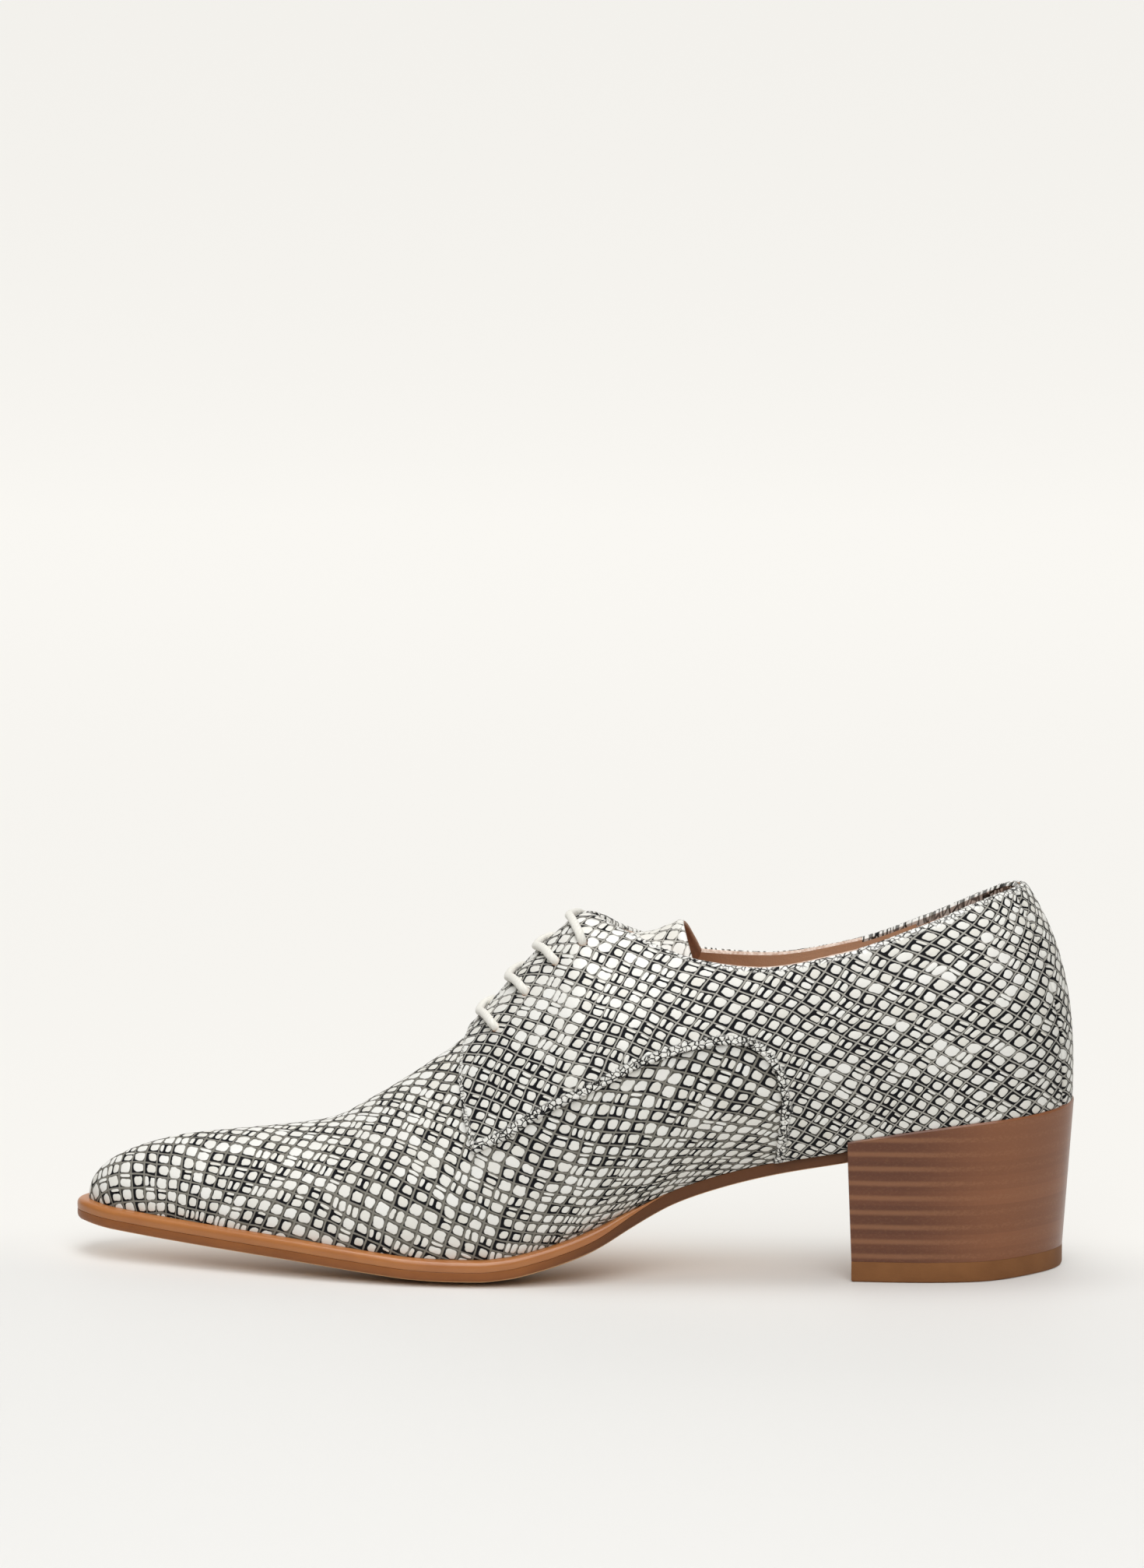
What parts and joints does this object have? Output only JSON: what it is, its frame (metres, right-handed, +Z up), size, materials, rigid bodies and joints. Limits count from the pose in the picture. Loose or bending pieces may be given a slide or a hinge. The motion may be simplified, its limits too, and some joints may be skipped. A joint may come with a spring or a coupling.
{
  "type": "heeled derby shoe",
  "caption": "Right derby shoe with a pointed toe, open lacing and a stacked block heel, its upper a hollow leather shell in a black-and-white snake emboss.",
  "frame": {"origin": "on the floor under the centre of the shoe's box", "axes": "toe along -X, heel along +X, medial (inner) side towards -Y, lateral (outer) side towards +Y, +Z up from the floor"},
  "size_m": [0.2702, 0.0788, 0.105],
  "materials": {
    "embossed_leather": "black, grey and white snake emboss, semi-gloss",
    "lining_leather": "smooth tan lining leather, matt",
    "welt_leather": "tan welt leather, waxed edge",
    "outsole_leather": "brown sole leather, waxed edge",
    "stacked_leather": "stacked leather, red-brown with pale layer lines",
    "lift_rubber": "brown heel lift, matt",
    "lace_cord": "off-white waxed round cord"
  },
  "bodies": {
    "root": {"upper": "embossed_leather", "quarter_medial": "embossed_leather", "quarter_lateral": "embossed_leather", "back_strip": "embossed_leather", "tongue": "embossed_leather", "insole": "lining_leather", "welt": "welt_leather", "outsole": "outsole_leather", "heel_stack": "stacked_leather", "heel_lift": "lift_rubber", "lace_bar_1": "lace_cord", "lace_bar_2": "lace_cord", "lace_bar_3": "lace_cord", "lace_bar_4": "lace_cord"}
  },
  "joints": []
}
